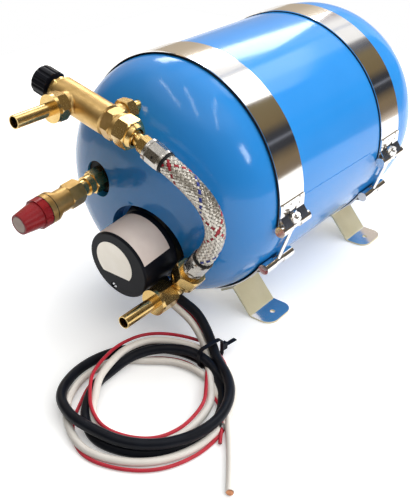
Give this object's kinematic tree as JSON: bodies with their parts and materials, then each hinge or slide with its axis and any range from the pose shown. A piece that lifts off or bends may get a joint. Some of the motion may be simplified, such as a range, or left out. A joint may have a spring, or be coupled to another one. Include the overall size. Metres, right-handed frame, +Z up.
{
  "type": "horizontal water heater",
  "caption": "Horizontal marine water heater: a dished blue casing in polished clamp straps on feet, with mixing valve, braided hose, relief valve, immersion heater and coiled leads.",
  "frame": {"origin": "on the floor, at the centre of the four foot holes", "axes": "+Y along the casing away from its fittings, +X toward the strap clamps, +Z up"},
  "size_m": [0.4284, 0.705, 0.3165],
  "materials": {
    "blue_casing": "gloss sky-blue coating",
    "polished_steel": "mirror-polished stainless steel",
    "brass": "machined and polished",
    "cast_brass": "sand-cast, dull",
    "black_plastic": "satin moulding",
    "red_plastic": "semi-gloss moulding",
    "black_rubber": "matt",
    "braid": "woven wire",
    "black_cable": "satin sheath",
    "white_cable": "satin sheath",
    "red_cable": "satin sheath"
  },
  "bodies": {
    "heater": {"casing_shell": "blue_casing", "front_end": "blue_casing", "back_end": "blue_casing", "front_strap": "polished_steel", "front_right_foot": "polished_steel", "front_left_foot": "polished_steel", "front_upper_trunnion": "polished_steel", "front_lower_trunnion": "polished_steel", "front_clamp_bolt": "polished_steel", "front_strap_liner": "black_rubber", "back_strap": "polished_steel", "back_right_foot": "polished_steel", "back_left_foot": "polished_steel", "back_upper_trunnion": "polished_steel", "back_lower_trunnion": "polished_steel", "back_clamp_bolt": "polished_steel", "back_strap_liner": "black_rubber", "mixer_body": "cast_brass", "relief_body": "cast_brass", "hot_outlet_nut": "brass", "mixer_gland_nut": "brass", "outlet_nut": "brass", "outlet_stub": "brass", "hose_union_nut": "brass", "hose_tail": "brass", "branch_nut": "brass", "inlet_tee": "brass", "inlet_tank_nut": "brass", "inlet_nut": "brass", "inlet_stub": "brass", "relief_nipple": "brass", "heater_flange": "brass", "upper_ferrule": "polished_steel", "lower_ferrule": "polished_steel", "braided_hose": "braid", "heater_cap": "black_plastic", "cable_exit": "black_plastic", "cable_tie": "black_plastic", "relief_grommet": "black_rubber", "black_lead": "black_cable", "cable_coil": "black_cable", "white_lead": "white_cable", "white_tail": "white_cable", "red_lead": "red_cable"},
    "knob": {"mixer_knob": "black_plastic"},
    "twist_cap": {"relief_cap": "red_plastic"}
  },
  "joints": [
    {"name": "knob_turn", "type": "hinge", "parent": "heater", "child": "knob", "pos_m": [-0.09147, -0.25428, 0.29175], "axis": [0.9707, 0, -0.2402], "range_deg": [-135, 135]},
    {"name": "cap_twist", "type": "hinge", "parent": "heater", "child": "twist_cap", "pos_m": [-0.0536, -0.33183, 0.16467], "axis": [0, -0.9968, -0.0802], "range_deg": [0, 90]}
  ]
}
